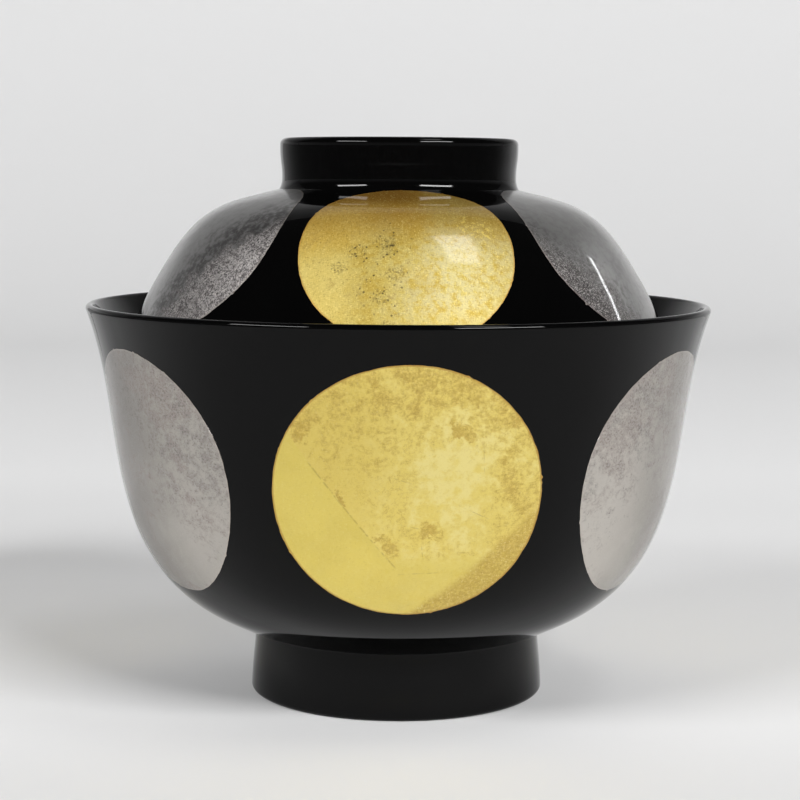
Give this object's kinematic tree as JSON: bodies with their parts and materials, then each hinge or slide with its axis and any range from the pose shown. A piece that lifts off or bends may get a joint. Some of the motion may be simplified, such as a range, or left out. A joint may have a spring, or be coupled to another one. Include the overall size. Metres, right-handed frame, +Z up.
{
  "type": "lidded lacquer bowl",
  "caption": "Round black lacquer soup bowl on a tall foot ring, with a domed lift-off lid seated inside its flared rim, both ringed with gold and silver leaf discs.",
  "frame": {"origin": "on the turning axis, in the plane that the foot ring stands on", "axes": "+Z up along the turning axis; the gold disc at the front faces -Y"},
  "size_m": [0.1214, 0.1214, 0.1083],
  "materials": {
    "wood": "turned, bare under the lacquer",
    "black_lacquer": "polished black lacquer",
    "gold_leaf": "gold leaf under clear lacquer",
    "silver_leaf": "silver leaf, slightly tarnished, under clear lacquer"
  },
  "bodies": {
    "bowl": {"bowl_core": "wood", "foot_recess_lacquer": "black_lacquer", "bowl_outer_lacquer": "black_lacquer", "bowl_inner_lacquer": "black_lacquer", "bowl_gold_leaf_1": "gold_leaf", "bowl_gold_leaf_2": "gold_leaf", "bowl_gold_leaf_3": "gold_leaf", "bowl_silver_leaf_1": "silver_leaf", "bowl_silver_leaf_2": "silver_leaf", "bowl_silver_leaf_3": "silver_leaf"},
    "lid": {"lid_core": "wood", "lid_inner_lacquer": "black_lacquer", "lid_outer_lacquer": "black_lacquer", "grip_recess_lacquer": "black_lacquer", "lid_gold_leaf_1": "gold_leaf", "lid_gold_leaf_2": "gold_leaf", "lid_gold_leaf_3": "gold_leaf", "lid_silver_leaf_1": "silver_leaf", "lid_silver_leaf_2": "silver_leaf", "lid_silver_leaf_3": "silver_leaf"}
  },
  "joints": [
    {"name": "lid_lift", "type": "slide", "parent": "bowl", "child": "lid", "axis": [0, 0, 1], "range_m": [0, 0.08]}
  ]
}
